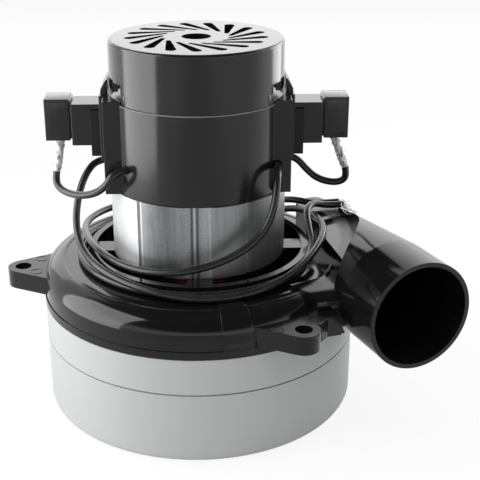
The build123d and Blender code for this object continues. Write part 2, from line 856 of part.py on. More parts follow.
# Through bolts: they clamp the brush housing and the stack to the bracket's posts
bolt_top_z = stack_top_z + lug_h
with BuildPart() as through_bolts:
    for place in (bolt_circle, -bolt_circle):
        with Locations((place, 0, floor_top_z + overrun)):
            Cylinder(
                bolt_r,
                bolt_top_z - floor_top_z - overrun,
                align=(Align.CENTER, Align.CENTER, Align.MIN),
            )
        with Locations((place, 0, bolt_top_z)):
            Cylinder(bolt_head_r, bolt_head_h, align=(Align.CENTER, Align.CENTER, Align.MIN))
keep(through_bolts, "through_bolts")

# Brush housing: a round wall with a wing box at each brush and a deck on top
top_bore, top_bearing_r, top_bearing_w, top_bearing_z = top_bearing
boss_r = top_bearing_r + wall
boss_end_z = top_bearing_z + top_bearing_w
with BuildPart() as brush_housing:
    tube(housing_r, housing_r - housing_wall, stack_top_z, housing_top_z)
    block((-wing_x, -wing_y, wing_low_z), (wing_x, wing_y, wing_top_z))
    block((-plate_x, -plate_y, plate_low_z), (plate_x, plate_y, wing_top_z))
    disc(housing_r - housing_wall, stack_top_z - overrun, deck_low_z, Mode.SUBTRACT)
    inner_x = wing_x - housing_wall
    inner_y = wing_y - housing_wall
    block(
        (-inner_x, -inner_y, wing_low_z + housing_wall),
        (inner_x, inner_y, deck_low_z),
        Mode.SUBTRACT,
    )
    cap_room_r = cap_r + slip_gap
    disc(cap_room_r, housing_top_z, wing_top_z + overrun, Mode.SUBTRACT)
    disc(boss_r, deck_low_z, boss_end_z)
    disc(top_bearing_r + shaft_gap, top_bearing_z, boss_end_z + overrun, Mode.SUBTRACT)
    disc(shaft_core_r + wall / 2, deck_low_z - overrun, boss_end_z, Mode.SUBTRACT)
    for facing in (-90, 90):
        sector(
            deck_window_out,
            deck_window_in,
            facing - deck_window_half,
            facing + deck_window_half,
            deck_low_z - overrun,
            housing_top_z + overrun,
            Mode.SUBTRACT,
        )
    # lugs under the heads of the through bolts
    for side in (-1, 1):
        side_block(side, lug_in_r, housing_r - housing_wall / 2, lug_half, stack_top_z, bolt_top_z)
        with Locations((side * bolt_circle, 0, stack_top_z)):
            Cylinder(bolt_r + bolt_gap, 2 * lug_h + overrun, mode=Mode.SUBTRACT)
        with Locations((side * bolt_circle, 0, bolt_top_z)):
            Cylinder(
                bolt_head_r + bolt_gap,
                bolt_head_h + bolt_gap,
                align=(Align.CENTER, Align.CENTER, Align.MIN),
                mode=Mode.SUBTRACT,
            )
        # opening for the brush holder's neck
        side_block(
            side,
            inner_x - overrun,
            plate_x + overrun,
            neck_y + slip_gap,
            brush_z - neck_h / 2 - slip_gap,
            brush_z + neck_h / 2 + slip_gap,
            Mode.SUBTRACT,
        )
        # wedge that the top cap snaps behind
        with BuildSketch(Plane.XZ.offset(-latch_y)) as latch:
            with BuildLine():
                Polyline(
                    (side * latch_in_x, wing_top_z - overrun),
                    (side * latch_out_x, wing_top_z - overrun),
                    (side * latch_out_x, latch_shoulder_z),
                    (side * (latch_in_x + latch_tip), latch_top_z),
                    (side * latch_in_x, latch_top_z),
                    close=True,
                )
            make_face()
        extrude(latch.sketch, amount=2 * latch_y)
    # holes for the leads: one brush lead on each side and the two supply leads
    radial_entry(left_lead_route)
    for mouth_x, entry in ((plate_x, right_lead_route[-1]), (-plate_x, rear_supply_route[0])):
        with Locations(Location((entry[0], entry[1], entry[2]), (0, 90, 0))):
            Cylinder(lead_r + entry_gap, 2 * abs(mouth_x - entry[0]), mode=Mode.SUBTRACT)
    entry = front_supply_route[0]
    with Locations(Location(entry, (90, 0, 0))):
        Cylinder(lead_r + entry_gap, 2 * overrun, mode=Mode.SUBTRACT)
keep(brush_housing, "brush_housing")

# Top cap: a vented cover with a notch over each wing
with BuildSketch() as vent_shape:
    with BuildLine():
        CenterArc(polar(vent_in_r, 0), vent_in_w / 2, 0, 360)
        CenterArc(polar(vent_out_r, vent_lead), vent_out_w / 2, 0, 360)
    make_hull()
with BuildPart() as top_cap:
    disc(cap_r, housing_top_z, cap_top_z)
    fillet(top_cap.edges().group_by(Axis.Z)[-1], cap_edge_r)
    disc(cap_r - cap_wall, housing_top_z - overrun, cap_top_z - cap_wall, Mode.SUBTRACT)
    for side in (-1, 1):
        side_block(side, notch_x, cap_r, notch_y, housing_top_z, notch_top_z, Mode.SUBTRACT)
        for end in (-1, 1):
            near_y, far_y = sorted((end * hook_in_y, end * hook_out_y))
            near_x, far_x = sorted((side * notch_x, side * cap_r))
            block((near_x, near_y, housing_top_z), (far_x, far_y, hook_top_z), Mode.SUBTRACT)
    with BuildSketch(Plane.XY.offset(cap_top_z - cap_wall - overrun)) as vents:
        with PolarLocations(0, vent_slots, start_angle=vent_turn):
            add(vent_shape.sketch)
        Circle(vent_eye_r)
    extrude(vents.sketch, amount=cap_wall + 2 * overrun, mode=Mode.SUBTRACT)
keep(top_cap, "top_cap")

# Cooling fan above the upper bearing
with BuildPart() as cooling_fan:
    disc(cool_fan_r, cool_fan_low_z, cool_fan_low_z + cool_blade_t)
    disc(fan_hub_r, cool_fan_low_z, cool_fan_low_z + cool_fan_h)
    tube(top_bore + race_share * (top_bearing_r - top_bore), top_bore, boss_end_z, cool_fan_low_z)
    with BuildSketch(Plane.XY.offset(cool_fan_low_z)) as paddles:
        with PolarLocations((fan_hub_r + cool_fan_r) / 2 - cool_blade_t, cool_blades):
            Rectangle(cool_fan_r - fan_hub_r, cool_blade_t)
    extrude(paddles.sketch, amount=cool_fan_h)
    disc(top_bore, boss_end_z, cool_fan_low_z + cool_fan_h + overrun, Mode.SUBTRACT)
keep(cooling_fan, "cooling_fan")

# Brush gear, the same at each end of the brush axis
tube_half_y = brush_w / 2 + brush_gap + tube_wall
tube_half_z = brush_h / 2 + brush_gap + tube_wall
brush_out_x = brush_in_x + brush_l
plate_in_x = tube_out_x + ball_gap
plate_out_x = plate_in_x + tab_t
for side, name in ((-1, "left"), (1, "right")):
    with BuildPart() as brush_holder:
        side_block(side, holder_in_x, holder_out_x, holder_y, holder_low_z, holder_top_z)
        side_block(side, holder_neck_x, holder_in_x, neck_y, brush_z - neck_h / 2, brush_z + neck_h / 2)
        side_block(
            side,
            holder_neck_x - overrun,
            holder_out_x + overrun,
            tube_half_y + slip_gap,
            brush_z - tube_half_z - slip_gap,
            brush_z + tube_half_z + slip_gap,
            Mode.SUBTRACT,
        )
    keep(brush_holder, f"{name}_brush_holder")

    with BuildPart() as holder_clip:
        side_block(side, clip_in_x, clip_out_x, clip_y, clip_low_z, clip_top_z)
        side_block(
            side,
            clip_in_x - overrun,
            clip_out_x + overrun,
            holder_y + slip_gap,
            holder_low_z - slip_gap,
            clip_top_z + overrun,
            Mode.SUBTRACT,
        )
    keep(holder_clip, f"{name}_holder_clip")

    with BuildPart() as brush_tube:
        side_block(
            side, tube_in_x, tube_out_x, tube_half_y, brush_z - tube_half_z, brush_z + tube_half_z
        )
        side_block(
            side,
            tube_in_x - overrun,
            tube_out_x + overrun,
            tube_half_y - tube_wall,
            brush_z - tube_half_z + tube_wall,
            brush_z + tube_half_z - tube_wall,
            Mode.SUBTRACT,
        )
    keep(brush_tube, f"{name}_brush_tube")

    with BuildPart() as carbon_brush:
        side_block(side, brush_in_x, brush_out_x, brush_w / 2, brush_z - brush_h / 2, brush_z + brush_h / 2)
    keep(carbon_brush, f"{name}_carbon_brush")

    spring_low = brush_out_x + spring_wire / 2 + ball_gap
    spring_high = plate_in_x - spring_wire / 2 - ball_gap
    with BuildPart() as brush_spring:
        with BuildLine() as coils:
            Helix(
                (spring_high - spring_low) / spring_turns,
                spring_high - spring_low,
                spring_r,
                center=(side * spring_low, 0, brush_z),
                direction=(side, 0, 0),
            )
        with BuildSketch(Plane(origin=coils.line @ 0, z_dir=coils.line % 0)) as wire:
            Circle(spring_wire / 2)
        sweep(wire.sketch, path=coils.line, is_frenet=True)
    keep(brush_spring, f"{name}_brush_spring")

    with BuildPart() as brush_shunt:
        side_rod(side, brush_out_x + ball_gap, plate_in_x - ball_gap, 0, brush_z, shunt_r)
    keep(brush_shunt, f"{name}_brush_shunt")

    with BuildPart() as terminal_tab:
        side_block(
            side,
            plate_in_x,
            plate_out_x,
            tube_half_y - tube_wall / 2,
            brush_z - tube_half_z + tube_wall / 2,
            brush_z + tube_half_z - tube_wall / 2,
        )
        side_block(side, plate_out_x, tab_out_x, tab_y, brush_z - tab_t / 2, brush_z + tab_t / 2)
    keep(terminal_tab, f"{name}_terminal_tab")

    with BuildPart() as terminal_cap:
        side_block(side, cap_in_x, cap_out_x, cap_y, cap_low_z, cap_high_z)
        side_block(
            side,
            cap_in_x - overrun,
            cap_out_x - cap_wall,
            cap_y - cap_wall,
            cap_low_z + cap_wall,
            cap_high_z - cap_wall,
            Mode.SUBTRACT,
        )
        with Locations((side * sleeve_x, 0, cap_low_z)):
            Cylinder(sleeve_r + entry_gap, 2 * cap_wall + overrun, mode=Mode.SUBTRACT)
    keep(terminal_cap, f"{name}_terminal_cap")

# Leads of the brushes: a clear sleeve at the terminal, then black insulation into the housing
for name, route in (("left", left_lead_route), ("right", right_lead_route)):
    terminal, bend, sleeve_end, *_ = route
    with BuildPart() as lead_sleeve:
        heading = Vector(*sleeve_end) - Vector(*bend)
        with BuildSketch(Plane(origin=bend, z_dir=heading)) as ring:
            Circle(sleeve_r)
            Circle(sleeve_bore, mode=Mode.SUBTRACT)
        extrude(ring.sketch, amount=heading.length - sleeve_ease)
    keep(lead_sleeve, f"{name}_lead_sleeve")

    with BuildPart() as brush_lead:
        lead_along(route[2:], lead_r)
        with BuildSketch(Plane(origin=sleeve_end, z_dir=-heading)) as core:
            Circle(core_wire_r)
        extrude(core.sketch, amount=heading.length)
        with BuildSketch(Plane.XY.offset(bend[2]).shift_origin((bend[0], bend[1], bend[2]))) as riser:
            Circle(core_wire_r)
        extrude(riser.sketch, amount=terminal[2] - bend[2])
        with Locations(bend):
            Sphere(core_wire_r)
    keep(brush_lead, f"{name}_brush_lead")

# Supply leads, laid loosely around the collar, and their bare frayed ends
for name, route in (("front", front_supply_route), ("rear", rear_supply_route)):
    with BuildPart() as supply_lead:
        run_length = lead_along(route, lead_r)
    keep(supply_lead, f"{name}_supply_lead")
    radii = corner_radii(route)
    smallest = min(radii)
    swept_volume = pi * lead_r**2 * run_length
    share = supply_lead.part.volume / swept_volume
    print(name, "supply lead: length", round(run_length, 1), "volume over section by length", round(share, 4))
    print("corner radii", [round(radius, 1) for radius in radii], "smallest", round(smallest, 1))

with BuildPart() as bare_strands:
    for route, heading in ((front_supply_route, front_strand_way), (rear_supply_route, rear_strand_way)):
        end = Vector(*route[-1])
        way = end - Vector(*route[-2])
        mouth = Plane(origin=end, z_dir=way)
        elbow = end + way.normalized() * strand_elbow
        lay = Plane(origin=elbow, x_dir=(-heading[1], heading[0], 0), z_dir=heading)
        for count in range(strand_count):
            foot = mouth.from_local_coords((*polar(lead_r * strand_share, 360 * count / strand_count), 0))
            spread = strand_step * (count - strand_count / 2)
            knee = foot + way.normalized() * (strand_elbow - spread * strand_share)
            tip = lay.from_local_coords((spread, strand_lift * (count % 3), strand_len - abs(spread)))
            lead_along((tuple(foot), tuple(knee), tuple(tip)), strand_r)
keep(bare_strands, "bare_strands")
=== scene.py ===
import random
from math import atan2, cos, pi, radians, sin

import bmesh
import bpy
from mathutils import Matrix, Vector


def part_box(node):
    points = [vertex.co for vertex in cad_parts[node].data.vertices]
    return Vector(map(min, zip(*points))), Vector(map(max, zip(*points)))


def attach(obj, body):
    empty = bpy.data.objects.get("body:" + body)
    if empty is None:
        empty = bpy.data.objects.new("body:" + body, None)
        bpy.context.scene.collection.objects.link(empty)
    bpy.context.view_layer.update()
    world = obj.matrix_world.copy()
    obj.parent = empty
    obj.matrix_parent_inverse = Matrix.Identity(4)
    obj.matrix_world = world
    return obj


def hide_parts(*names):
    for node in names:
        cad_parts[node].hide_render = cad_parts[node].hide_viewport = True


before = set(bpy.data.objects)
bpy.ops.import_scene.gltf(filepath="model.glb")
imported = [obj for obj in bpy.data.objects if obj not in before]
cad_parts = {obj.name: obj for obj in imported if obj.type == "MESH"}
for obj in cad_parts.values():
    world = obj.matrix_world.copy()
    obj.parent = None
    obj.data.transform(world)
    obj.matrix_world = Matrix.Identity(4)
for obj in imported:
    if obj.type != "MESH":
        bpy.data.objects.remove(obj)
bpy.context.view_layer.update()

MM = 0.001

# Camera: the place and lens that the photograph was taken with, in metres and degrees
CAMERA_SPOT = (0, -0.4453, 0.2588)
CAMERA_HEADING = 2.458
CAMERA_DIP = 22.53
CAMERA_ROLL = 0.09
CAMERA_LENS = 77.03
SENSOR_WIDTH = 36
NEAREST_SEEN = 0.01


def place_camera():
    """Camera that looks down at the motor's front."""
    heading, dip = radians(CAMERA_HEADING), radians(CAMERA_DIP)
    ahead = Vector((sin(heading) * cos(dip), cos(heading) * cos(dip), -sin(dip)))
    right = Vector((cos(heading), -sin(heading), 0))
    above = right.cross(ahead)
    turn = Matrix((right, above, -ahead)).transposed()
    turn = turn @ Matrix.Rotation(radians(CAMERA_ROLL), 3, "Z")
    bpy.ops.object.camera_add()
    camera = bpy.context.object
    camera.matrix_world = Matrix.Translation(CAMERA_SPOT) @ turn.to_4x4()
    camera.data.sensor_width = SENSOR_WIDTH
    camera.data.lens = CAMERA_LENS
    camera.data.clip_start = NEAREST_SEEN
    bpy.context.scene.camera = camera


place_camera()

# Leads: routes in millimetres, the same as the solids'
FRONT_SUPPLY = (
    (34.4, -17.5, 118.0),
    (34.4, -25.0, 117.6),
    (33.6, -32.0, 113.4),
    (32.4, -36.0, 104.0),
    (28.2, -39.2, 94.0),
    (18.6, -44.0, 86.6),
    (4.0, -47.5, 81.2),
    (-13.0, -47.0, 78.0),
    (-31.5, -38.0, 77.0),
    (-44.5, -20.0, 77.5),
    (-52.5, 2.0, 76.0),
    (-56.0, 27.0, 74.5),
    (-43.0, 50.0, 73.8),
    (-20.0, 60.0, 72.2),
    (3.0, 61.4, 71.4),
    (24.0, 54.8, 73.6),
    (38.5, 41.0, 78.6),
    (46.9, 32.0, 82.3),
    (57.5, 28.4, 80.9),
    (69.2, 31.4, 80.8),
)
REAR_SUPPLY = (
    (-37.2, 6.0, 113.0),
    (-46.0, 6.0, 113.0),
    (-51.6, 0.6, 107.0),
    (-54.6, -4.0, 98.5),
    (-56.0, -7.0, 88.5),
    (-54.8, -12.5, 80.8),
    (-50.5, -23.0, 77.4),
    (-42.0, -37.5, 75.6),
    (-26.5, -50.9, 73.8),
    (-5.0, -58.3, 71.2),
    (17.0, -56.0, 71.0),
    (36.0, -45.0, 73.0),
    (50.0, -27.5, 77.0),
    (58.5, -6.5, 80.4),
    (57.2, 12.0, 80.6),
    (49.3, 27.5, 79.6),
    (36.0, 42.6, 72.2),
    (13.5, 55.0, 70.95),
    (-13.0, 55.4, 70.95),
    (-36.0, 43.5, 70.95),
    (-52.0, 23.0, 70.95),
    (-56.6, -2.0, 70.95),
    (-48.0, -28.5, 70.95),
    (-27.5, -47.6, 70.95),
    (-3.0, -54.7, 70.95),
    (21.5, -50.5, 70.95),
    (42.5, -35.0, 71.6),
    (52.6, -14.0, 75.0),
    (51.2, 3.0, 80.6),
    (51.4, 12.5, 84.4),
    (55.6, 19.4, 85.0),
    (62.6, 22.4, 82.2),
    (70.6, 25.2, 81.8),
)
LEFT_BRUSH = (
    (-64.0, 0.0, 109.4),
    (-64.7, -1.0, 105.2),
    (-63.0, -3.8, 102.4),
    (-58.5, -8.3, 101.3),
    (-51.5, -15.5, 102.6),
    (-44.6, -22.8, 106.4),
    (-39.8, -27.6, 111.2),
    (-37.2, -28.2, 115.4),
    (-34.2, -25.96, 117.0),
    (-28.7, -21.79, 117.0),
)
RIGHT_BRUSH = (
    (67.2, 0.0, 109.8),
    (68.2, 0.8, 105.4),
    (66.6, 1.8, 102.2),
    (62.0, 3.0, 101.0),
    (55.0, 4.4, 102.6),
    (49.8, 5.4, 107.2),
    (46.2, 6.0, 111.4),
    (42.6, 6.0, 113.0),
    (37.2, 6.0, 113.0),
)
LEAD_R = 1.65
LEAD_ROUNDNESS = 5
LEAD_STEPS = 12


def metres(point):
    return tuple(MM * value for value in point)


def round_wires(name, routes, radius, roundness, steps, capped):
    """One piece of round wire, along a smooth line led by the points of each route."""
    curve = bpy.data.curves.new(name, "CURVE")
    curve.dimensions = "3D"
    curve.bevel_depth = radius * MM
    curve.bevel_resolution = roundness
    curve.resolution_u = steps
    curve.use_fill_caps = capped
    for route in routes:
        line = curve.splines.new("NURBS")
        line.points.add(len(route) - 1)
        for knot, point in zip(line.points, route):
            knot.co = (*metres(point), 1)
        line.order_u = 3
        line.use_endpoint_u = True
    piece = bpy.data.objects.new(name, curve)
    bpy.context.scene.collection.objects.link(piece)
    return piece


def lead(name, route):
    return round_wires(name, [route], LEAD_R, LEAD_ROUNDNESS, LEAD_STEPS, capped=True)


front_lead = lead("front_supply_wire", FRONT_SUPPLY)
rear_lead = lead("rear_supply_wire", REAR_SUPPLY)
left_lead = lead("left_brush_wire", LEFT_BRUSH)
right_lead = lead("right_brush_wire", RIGHT_BRUSH)


# Materials: scales are per metre, and stripes and reliefs are in millimetres
class Signal:
    """A value in a material; arithmetic on it adds Math nodes."""

    def __init__(self, board, socket):
        self.board = board
        self.socket = socket

    def join(self, operation, *values):
        return self.board.node("ShaderNodeMath", dict(enumerate(values)), operation=operation)

    def __add__(self, other):
        return self.join("ADD", self, other)

    __radd__ = __add__

    def __sub__(self, other):
        return self.join("SUBTRACT", self, other)

    def __rsub__(self, other):
        return self.join("SUBTRACT", other, self)

    def __mul__(self, other):
        return self.join("MULTIPLY", self, other)

    __rmul__ = __mul__

    def stripe(self, middle, half_width):
        """1 at a place along the value, falling to 0 a short way either side."""
        off = (self - middle * MM) * (1 / (half_width * MM))
        return self.join("EXPONENT", off * off * -1)

    def stripes(self, *rows):
        """Sum of stripes, each given by its middle and half width."""
        return sum(self.stripe(*row) for row in rows)

    def clamped(self, low, high):
        """0 below low, 1 above high, smooth between."""
        inputs = {"Value": self, "From Min": low, "From Max": high}
        return self.board.node("ShaderNodeMapRange", inputs, interpolation_type="SMOOTHSTEP")


class Board:
    """Nodes of a material or of the surroundings."""

    def __init__(self, tree):
        self.tree = tree

    def node(self, kind, inputs=(), output=0, **settings):
        """Adds a node from its type, its settings and the values or links of its sockets."""
        made = self.tree.nodes.new(kind)
        for setting, value in settings.items():
            setattr(made, setting, value)
        for key, value in dict(inputs).items():
            if isinstance(value, Signal):
                self.tree.links.new(value.socket, made.inputs[key])
            else:
                made.inputs[key].default_value = value
        return Signal(self, made.outputs[output])

    def axis(self, letter, vector):
        return self.node("ShaderNodeSeparateXYZ", {"Vector": vector}, output=letter)

    def rays(self, *kinds):
        """1 for each kind of ray that is being traced, else 0."""
        return [self.node("ShaderNodeLightPath", output=f"Is {kind} Ray") for kind in kinds]


class Finish(Board):
    """One material, built on the shader that every new material has."""

    def __init__(self, name, **uniform):
        self.material = bpy.data.materials.new(name)
        self.material.use_nodes = True
        super().__init__(self.material.node_tree)
        self.shader = self.tree.nodes["Principled BSDF"]
        for socket, value in uniform.items():
            self.shader.inputs[socket.replace("_", " ")].default_value = value
        self.place = self.node("ShaderNodeTexCoord", output="Object")

    def feed(self, **signals):
        for socket, signal in signals.items():
            self.tree.links.new(signal.socket, self.shader.inputs[socket.replace("_", " ")])
        return self.material

    def noise(self, scale, detail=2.0, stretch=(1, 1, 1)):
        at = self.node("ShaderNodeMapping", {"Vector": self.place, "Scale": stretch})
        return self.node("ShaderNodeTexNoise", {"Vector": at, "Scale": scale, "Detail": detail})

    def tint(self, mask, first, second):
        inputs = {0: mask, 6: (*first, 1), 7: (*second, 1)}
        return self.node("ShaderNodeMix", inputs, output=2, data_type="RGBA")

    def relief(self, height, strength, depth, edge=0.0):
        """Bump, on edges softened by a radius."""
        inputs = {"Height": height, "Strength": strength, "Distance": depth * MM}
        if edge:
            inputs["Normal"] = self.node("ShaderNodeBevel", {"Radius": edge * MM}, samples=6)
        return self.node("ShaderNodeBump", inputs)


# Level faces may be duller, from one distance off the motor's axis to another, in metres
DULL_FROM, DULL_FULL = 0.0640, 0.0671
LEVEL_FROM, LEVEL_FULL = 0.93, 0.99


def moulding(name, dark, light, rough, edge, level=0.0, **uniform):
    """Black moulded plastic: faint clouds, dusty gloss, softened corners, duller level faces."""
    made = Finish(name, IOR=1.5, **uniform)
    facing = made.axis("Z", made.node("ShaderNodeNewGeometry", output="Normal"))
    east, north = made.axis("X", made.place), made.axis("Y", made.place)
    outer = (east * east + north * north).clamped(DULL_FROM**2, DULL_FULL**2)
    dulled = facing.clamped(LEVEL_FROM, LEVEL_FULL) * outer * level
    cloud = made.noise(38, 3)
    dust = made.noise(420, 2).clamped(0.60, 0.74)
    return made.feed(
        Base_Color=made.tint(cloud * 0.8 + dust * 0.2, dark, light),
        Roughness=cloud * 0.06 + dust * 0.06 + dulled + rough,
        Normal=made.relief(cloud * 0.5 + made.noise(800, 2) * 0.1, 0.12, 0.12, edge),
    )


def shell_coat(name, dark, light):
    """Smooth light grey coat over drawn steel."""
    made = Finish(name, IOR=1.45, Coat_Weight=0.15, Coat_Roughness=0.25)
    cloud = made.noise(14, 2)
    grain = made.noise(900, 2)
    specks = made.noise(260, 1).clamped(0.66, 0.76)
    return made.feed(
        Base_Color=made.tint(cloud * 0.85 + specks * 0.15, dark, light),
        Roughness=cloud * 0.08 + grain * 0.06 + 0.34,
        Normal=made.relief(grain + cloud, 0.08, 0.05, 0.5),
    )


# Across the stack's front: middle and half width of its stripes, where the bright edge stripes are
# painted highlights; the range past which the left flank is painted lighter as if lit; and the
# thickness of a sheet
STACK_PITTED = ((3.1, 2.4), (-5.9, 2.2))
STACK_SEAMS = ((-3.1, 0.35), (-0.6, 0.35), (21.2, 0.3))
STACK_PAINTED_HIGHLIGHTS = ((-2.0, 0.3), (-25.0, 0.4), (4.6, 0.3))
STACK_DULLED = (-16.5, 9.5)
STACK_PAINTED_LIT_FLANK = (-0.0262, -0.0252)
SHEET = 0.65


def laminations(name, dark, light):
    """Edges of stacked steel sheets: rolled face, seams between the packs and pitted bands, with
    painted highlights along some edges and painted light on the left flank.
    """
    made = Finish(name, IOR=1.6)
    across, height = made.axis("X", made.place), made.axis("Z", made.place)
    turn = height * (2 * pi / (SHEET * MM))
    sheets = turn.join("SINE", turn)
    speckle = made.noise(1700, 3)
    brushed = made.noise(500, 2, (1, 1, 0.12))
    patches = made.noise(45, 3)
    pitted = across.stripes(*STACK_PITTED)
    seams = across.stripes(*STACK_SEAMS)
    # Painted highlights: lighter stripes along some edges of the packs, where they would catch the
    # light
    edges = across.stripes(*STACK_PAINTED_HIGHLIGHTS)
    # Painted light: the stack's left flank is made lighter, as if the left lamp lit it; it is also
    # rougher
    flank = 1 - across.clamped(*STACK_PAINTED_LIT_FLANK)
    dulled = across.stripe(*STACK_DULLED)
    tone = speckle * (0.3 + pitted * 1.1) + brushed * 0.3 + patches * 0.3
    # The painted highlights on the edges and the painted light on the left flank are added into
    # the colour here
    tone = tone + edges * 0.5 + flank * 0.6 - dulled * 0.35 - seams * 0.9 - pitted * 0.35
    grain = speckle * 0.16 + pitted * 0.15 + brushed * 0.08
    return made.feed(
        Base_Color=made.tint(tone, dark, light),
        Metallic=0.92 - seams * 0.5,
        Roughness=grain + dulled * 0.16 + flank * 0.12 + 0.24,
        Normal=made.relief(
            sheets * 0.35 + speckle * (0.5 + pitted * 2.5) - seams * 3, 0.5, 0.07, 0.25
        ),
    )


# Middle and half width of the stretches of coil that no tape covers
BARE_COPPER = ((-6.0, 3.5), (6.0, 3.5))


def windings(name, tape, copper):
    """Enamelled copper wires side by side, under dark tape away from the middle."""
    made = Finish(name, IOR=1.5, Coat_Weight=0.5, Coat_Roughness=0.15)
    inputs = {"Vector": made.place, "Scale": 260, "Distortion": 1.2, "Detail": 1.0}
    wires = made.node("ShaderNodeTexWave", inputs, output="Fac", bands_direction="Z")
    bare = made.axis("X", made.place).stripes(*BARE_COPPER)
    return made.feed(
        Base_Color=made.tint((wires * 0.8 + 0.2) * bare, tape, copper),
        Metallic=bare * 0.7,
        Roughness=made.noise(300, 2) * 0.15 + 0.25,
        Normal=made.relief(wires, 0.6, 0.25),
    )


def turned(name, dark, light, rough, grain=900):
    """Turned or drawn metal seen close: fine rings and light scratches."""
    made = Finish(name, Metallic=1.0, IOR=1.6)
    rings = made.noise(grain, 2, (0.15, 0.15, 1))
    scratches = made.noise(240, 4, (1, 0.2, 1))
    return made.feed(
        Base_Color=made.tint(rings * 0.5 + scratches * 0.5, dark, light),
        Roughness=scratches * 0.15 + rough,
        Normal=made.relief(rings, 0.15, 0.04, 0.2),
    )


def dull(name, dark, light, rough):
    """Dull moulded or pressed material with a fine grain."""
    made = Finish(name, IOR=1.45)
    speckle = made.noise(600, 3)
    return made.feed(
        Base_Color=made.tint(speckle, dark, light),
        Roughness=speckle * 0.15 + rough,
        Normal=made.relief(speckle, 0.2, 0.08, 0.2),
    )


def lead_cover(name, dark, light):
    """Soft insulation, slightly waxy and a little scuffed."""
    made = Finish(name, IOR=1.52, Coat_Weight=0.2, Coat_Roughness=0.2)
    cloud = made.noise(90, 3)
    scuffs = made.noise(700, 3).clamped(0.60, 0.75)
    return made.feed(
        Base_Color=made.tint(cloud * 0.6 + scuffs * 0.4, dark, light),
        Roughness=cloud * 0.10 + scuffs * 0.12 + 0.22,
        Normal=made.relief(made.noise(150, 2) + scuffs * 0.2, 0.25, 0.15),
    )


def clear_tubing(name, milky, streak):
    """Clear shrunk tubing, milky, with the bare conductor showing through as dark streaks."""
    made = Finish(
        name, IOR=1.46, Coat_Weight=0.5, Coat_Roughness=0.1, Transmission_Weight=0.15
    )
    creases = made.noise(380, 4, (1, 1, 0.4))
    core = made.noise(520, 2, (1, 1, 0.07)).clamped(0.52, 0.62)
    return made.feed(
        Base_Color=made.tint(creases.clamped(0.35, 0.6) * 0.6 + core * 0.55, milky, streak),
        Roughness=creases * 0.2 + 0.12,
        Normal=made.relief(creases + core * 0.4, 0.7, 0.35),
    )


GLOSS = moulding(
    "gloss_black_moulding", (0.0035, 0.0035, 0.004), (0.008, 0.008, 0.0085),
    rough=0.07, edge=0.0, level=0.20, Coat_Weight=0.08, Coat_Roughness=0.04,
)
SATIN = moulding(
    "satin_black_moulding", (0.008, 0.008, 0.0085), (0.016, 0.016, 0.017),
    rough=0.16, edge=0.7, Coat_Weight=0.2, Coat_Roughness=0.08,
)
HOUSING_BLACK = moulding(
    "housing_black_moulding", (0.007, 0.007, 0.0075), (0.014, 0.014, 0.015),
    rough=0.15, edge=0.6, Coat_Weight=0.2, Coat_Roughness=0.08,
)
CAP_BLACK = moulding(
    "cap_black_moulding", (0.006, 0.006, 0.0065), (0.012, 0.012, 0.0125),
    rough=0.13, edge=0.0, Coat_Weight=0.3, Coat_Roughness=0.10,
)
# Light grey for the housing's rim: a painted highlight, where the ledge catches the light
PAINTED_SHEEN_RIM = moulding(
    "painted_sheen_rim_moulding", (0.10, 0.10, 0.10), (0.22, 0.22, 0.22), rough=0.35, edge=0.0
)
CLIP_BLACK = moulding(
    "clip_black_moulding", (0.002, 0.002, 0.002), (0.004, 0.004, 0.004), rough=0.45, edge=0.2
)
FAN_BLACK = moulding(
    "fan_black_moulding", (0.010, 0.010, 0.010), (0.025, 0.025, 0.025), rough=0.35, edge=0.2
)
SHELL = shell_coat("grey_shell_coat", (0.405, 0.425, 0.42), (0.455, 0.475, 0.47))
STACK = laminations("stack_laminations", (0.16, 0.165, 0.17), (0.74, 0.75, 0.76))
COPPER = windings("copper_windings", (0.02, 0.012, 0.009), (0.95, 0.24, 0.11))
STEEL = turned("bright_turned_steel", (0.42, 0.42, 0.43), (0.66, 0.66, 0.67), 0.22)
RACE = turned("ground_bearing_steel", (0.55, 0.55, 0.56), (0.75, 0.75, 0.76), 0.10)
ALLOY = turned("pressed_aluminium", (0.55, 0.56, 0.57), (0.74, 0.75, 0.76), 0.30, grain=500)
BRASS = turned("folded_brass", (0.50, 0.36, 0.15), (0.78, 0.60, 0.28), 0.25)
BARS = turned("commutator_copper", (0.42, 0.19, 0.10), (0.74, 0.38, 0.22), 0.22)
TINNED = turned("tinned_strands", (0.36, 0.35, 0.33), (0.80, 0.78, 0.74), 0.25)
CARBON = dull("pressed_carbon", (0.012, 0.012, 0.013), (0.035, 0.035, 0.037), 0.55)
TUBING = dull("insulating_tube", (0.30, 0.22, 0.12), (0.46, 0.36, 0.22), 0.5)
LEAD = lead_cover("lead_cover", (0.007, 0.007, 0.008), (0.030, 0.030, 0.032))
CLEAR = clear_tubing("clear_tubing", (0.95, 0.95, 0.93), (0.16, 0.16, 0.15))


def coat(piece, material):
    """Gives a piece one material all over."""
    piece.data.materials.clear()
    piece.data.materials.append(material)


